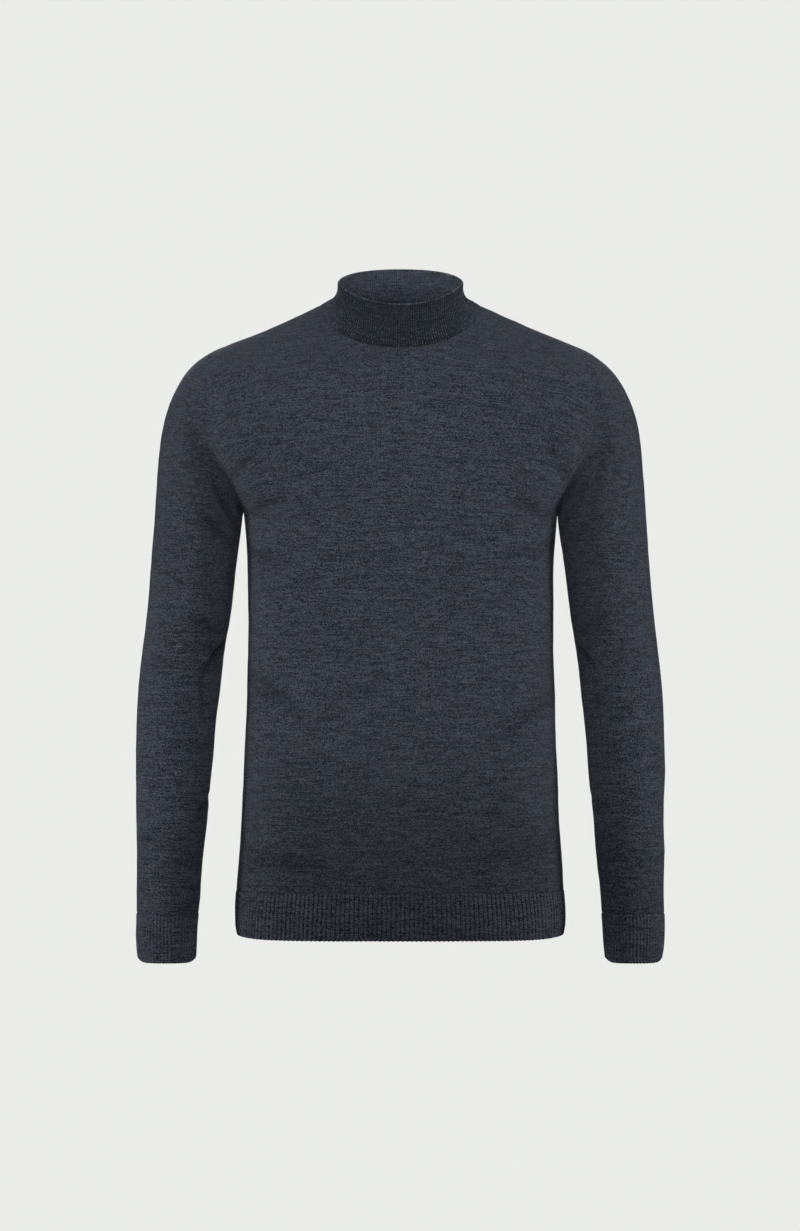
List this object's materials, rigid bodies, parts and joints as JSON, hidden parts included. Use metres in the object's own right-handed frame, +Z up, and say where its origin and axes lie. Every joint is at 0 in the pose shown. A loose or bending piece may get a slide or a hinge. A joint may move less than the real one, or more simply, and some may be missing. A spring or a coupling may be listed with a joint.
{
  "type": "mock turtleneck sweater",
  "caption": "Long-sleeved fine-knit wool sweater with a standing ribbed mock neck, set-in sleeves and ribbed hem and cuffs, hollow and filled out as if worn.",
  "frame": {"origin": "midway between the two high shoulder points, where the collar meets the shoulder seams and the wearer's shoulders carry the garment", "axes": "+Z up, -Y the way the wearer faces, +X the wearer's left"},
  "size_m": [0.5734, 0.2288, 0.7537],
  "materials": {
    "plain_knit": "heather slate-navy wool in fine plain knit, matt with a faint bloom",
    "rib_knit": "the same heather wool in fine rib, matt"
  },
  "bodies": {
    "root": {"front": "plain_knit", "back": "plain_knit", "sleeve_left": "plain_knit", "sleeve_right": "plain_knit", "hem_rib_front": "rib_knit", "hem_rib_back": "rib_knit", "cuff_left": "rib_knit", "cuff_right": "rib_knit", "collar": "rib_knit"}
  },
  "joints": []
}
